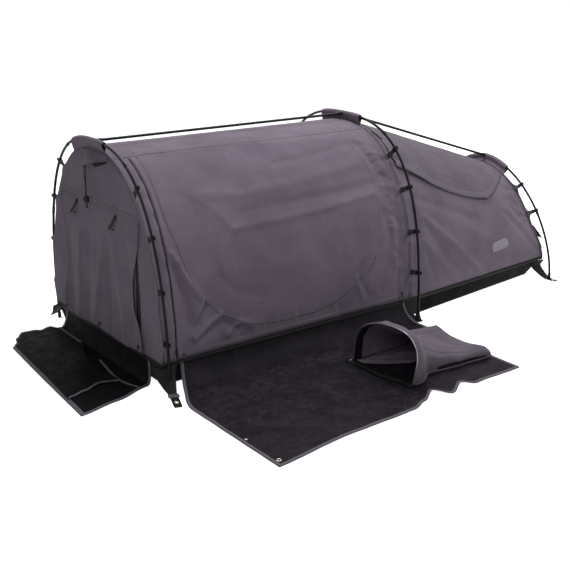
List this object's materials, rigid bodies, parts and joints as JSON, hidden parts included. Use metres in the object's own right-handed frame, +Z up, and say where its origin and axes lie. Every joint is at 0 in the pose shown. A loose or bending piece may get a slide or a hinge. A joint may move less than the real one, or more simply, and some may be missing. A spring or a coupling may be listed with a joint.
{
  "type": "swag bedroll",
  "caption": "Single dome canvas swag on three hoops with ridge poles, awning side doors, head door, vent hood, ground mats and boot hood.",
  "frame": {"origin": "middle of the tub's flat underside, on the ground", "axes": "+X towards the foot end, -Y towards the side with the long ground mat, +Z up"},
  "size_m": [2.5383, 1.7087, 0.8645],
  "materials": {
    "boot_hood": "grey-mauve poly-cotton canvas, matt",
    "boot_hoop": "grey bound wire",
    "canopy_foot": "grey-mauve poly-cotton canvas, matt",
    "canopy_head": "grey-mauve poly-cotton canvas, matt",
    "clip_foot_far_1": "black moulded plastic",
    "clip_foot_far_2": "black moulded plastic",
    "clip_foot_near_1": "black moulded plastic",
    "clip_foot_near_2": "black moulded plastic",
    "clip_head_far_1": "black moulded plastic",
    "clip_head_far_2": "black moulded plastic",
    "clip_head_far_3": "black moulded plastic",
    "clip_head_far_4": "black moulded plastic",
    "clip_head_near_1": "black moulded plastic",
    "clip_head_near_2": "black moulded plastic",
    "clip_head_near_3": "black moulded plastic",
    "clip_head_near_4": "black moulded plastic",
    "clip_mid_far_1": "black moulded plastic",
    "clip_mid_far_2": "black moulded plastic",
    "clip_mid_far_3": "black moulded plastic",
    "clip_mid_far_4": "black moulded plastic",
    "clip_mid_near_1": "black moulded plastic",
    "clip_mid_near_2": "black moulded plastic",
    "clip_mid_near_3": "black moulded plastic",
    "clip_mid_near_4": "black moulded plastic",
    "cord_button": "black moulded plastic",
    "cord_lock": "black moulded plastic",
    "drawcord_far": "black braided cord",
    "drawcord_near": "black braided cord",
    "foot_hoop": "black anodised tube",
    "foot_sleeve": "grey-mauve poly-cotton canvas, matt",
    "foot_wall": "grey-mauve poly-cotton canvas, matt",
    "head_door": "grey-mauve poly-cotton canvas, matt",
    "head_hoop": "black anodised tube",
    "head_mat": "black coated fabric, slight sheen",
    "head_mesh": "fine black insect mesh",
    "head_pocket": "black coated fabric, slight sheen",
    "head_sleeve": "grey-mauve poly-cotton canvas, matt",
    "head_wall": "grey-mauve poly-cotton canvas, matt",
    "mattress": "grey mattress cover",
    "mesh_door_far": "fine black insect mesh",
    "mesh_door_near": "fine black insect mesh",
    "mid_hoop": "black anodised tube",
    "mid_sleeve": "grey-mauve poly-cotton canvas, matt",
    "ridge_pole_front": "black anodised tube",
    "ridge_pole_rear": "black anodised tube",
    "roof_flap_far": "grey-mauve poly-cotton canvas, matt",
    "roof_flap_near": "grey-mauve poly-cotton canvas, matt",
    "side_mat": "black coated fabric, slight sheen",
    "side_panel_far": "grey-mauve poly-cotton canvas, matt",
    "side_panel_near": "grey-mauve poly-cotton canvas, matt",
    "strap_foot_far": "black coated fabric, slight sheen",
    "strap_foot_near": "black coated fabric, slight sheen",
    "strap_head_far": "black coated fabric, slight sheen",
    "strap_head_near": "black coated fabric, slight sheen",
    "strap_mid_far": "black coated fabric, slight sheen",
    "strap_mid_near": "black coated fabric, slight sheen",
    "toggle_far": "black moulded plastic",
    "toggle_near": "black moulded plastic",
    "tub": "black coated fabric, slight sheen",
    "vent_hood": "grey-mauve poly-cotton canvas, matt"
  },
  "bodies": {
    "shelter": {"canopy_foot": "canopy_foot", "canopy_head": "canopy_head", "clip_foot_far_1": "clip_foot_far_1", "clip_foot_far_2": "clip_foot_far_2", "clip_foot_near_1": "clip_foot_near_1", "clip_foot_near_2": "clip_foot_near_2", "clip_head_far_1": "clip_head_far_1", "clip_head_far_2": "clip_head_far_2", "clip_head_far_3": "clip_head_far_3", "clip_head_far_4": "clip_head_far_4", "clip_head_near_1": "clip_head_near_1", "clip_head_near_2": "clip_head_near_2", "clip_head_near_3": "clip_head_near_3", "clip_head_near_4": "clip_head_near_4", "clip_mid_far_1": "clip_mid_far_1", "clip_mid_far_2": "clip_mid_far_2", "clip_mid_far_3": "clip_mid_far_3", "clip_mid_far_4": "clip_mid_far_4", "clip_mid_near_1": "clip_mid_near_1", "clip_mid_near_2": "clip_mid_near_2", "clip_mid_near_3": "clip_mid_near_3", "clip_mid_near_4": "clip_mid_near_4", "foot_hoop": "foot_hoop", "foot_sleeve": "foot_sleeve", "foot_wall": "foot_wall", "head_hoop": "head_hoop", "head_mesh": "head_mesh", "head_sleeve": "head_sleeve", "head_wall": "head_wall", "mattress": "mattress", "mid_hoop": "mid_hoop", "mid_sleeve": "mid_sleeve", "ridge_pole_front": "ridge_pole_front", "ridge_pole_rear": "ridge_pole_rear", "strap_foot_far": "strap_foot_far", "strap_foot_near": "strap_foot_near", "strap_head_far": "strap_head_far", "strap_head_near": "strap_head_near", "strap_mid_far": "strap_mid_far", "strap_mid_near": "strap_mid_near", "tub": "tub"},
    "side_door_near": {"side_panel_near": "side_panel_near", "mesh_door_near": "mesh_door_near"},
    "side_door_far": {"side_panel_far": "side_panel_far", "mesh_door_far": "mesh_door_far"},
    "door_flap": {"head_door": "head_door", "toggle_near": "toggle_near", "toggle_far": "toggle_far"},
    "hood": {"vent_hood": "vent_hood", "drawcord_near": "drawcord_near", "drawcord_far": "drawcord_far"},
    "roof_flap_near": {"roof_flap_near": "roof_flap_near"},
    "roof_flap_far": {"roof_flap_far": "roof_flap_far"},
    "ground_mat": {"side_mat": "side_mat", "boot_hood": "boot_hood"},
    "head_ground_mat": {"head_mat": "head_mat", "head_pocket": "head_pocket"},
    "boot_wire": {"boot_hoop": "boot_hoop"},
    "lock": {"cord_lock": "cord_lock"},
    "lock_button": {"cord_button": "cord_button"}
  },
  "joints": [
    {"name": "side_door_near_lift", "type": "hinge", "parent": "shelter", "child": "side_door_near", "pos_m": [-0.457, -0.13424, 0.7952], "axis": [-0.9999, 0.0068, 0.0121], "range_deg": [0, 80]},
    {"name": "side_door_far_lift", "type": "hinge", "parent": "shelter", "child": "side_door_far", "pos_m": [-0.457, 0.13424, 0.7952], "axis": [0.9999, 0.0068, -0.0121], "range_deg": [0, 80]},
    {"name": "head_door_lift", "type": "hinge", "parent": "shelter", "child": "door_flap", "pos_m": [-1.0805, 0, 0.592], "axis": [0, 1, 0], "range_deg": [0, 90]},
    {"name": "vent_hood_lift", "type": "hinge", "parent": "shelter", "child": "hood", "pos_m": [-1.0805, 0, 0.8], "axis": [0, 1, 0], "range_deg": [0, 30]},
    {"name": "roof_flap_near_lift", "type": "hinge", "parent": "shelter", "child": "roof_flap_near", "pos_m": [0.56761, -0.0576, 0.67066], "axis": [-0.9475, -0.043, 0.3169], "range_deg": [0, 80]},
    {"name": "roof_flap_far_lift", "type": "hinge", "parent": "shelter", "child": "roof_flap_far", "pos_m": [0.56761, 0.0576, 0.67066], "axis": [0.9475, -0.043, -0.3169], "range_deg": [0, 80]},
    {"name": "side_mat_lift", "type": "hinge", "parent": "shelter", "child": "ground_mat", "pos_m": [-0.488, -0.45, 0.089], "axis": [-0.9999, 0.0129, 0], "range_deg": [0, 60]},
    {"name": "head_mat_lift", "type": "hinge", "parent": "shelter", "child": "head_ground_mat", "pos_m": [-1.08231, -0.05, 0.089], "axis": [0, 1, 0], "range_deg": [0, 60]},
    {"name": "boot_hoop_fold", "type": "hinge", "parent": "ground_mat", "child": "boot_wire", "pos_m": [-0.364, -0.84, 0.0055], "axis": [0, 1, 0], "range_deg": [0, 80], "deforming": ["boot_hood"]},
    {"name": "cord_lock_slide", "type": "slide", "parent": "hood", "child": "lock", "axis": [0, 0, 1], "range_m": [0, 0.035]},
    {"name": "cord_button_press", "type": "slide", "parent": "lock", "child": "lock_button", "axis": [1, 0, 0], "range_m": [0, 0.0035], "stiffness_N_per_m": 400, "springref_m": -0.0005}
  ]
}
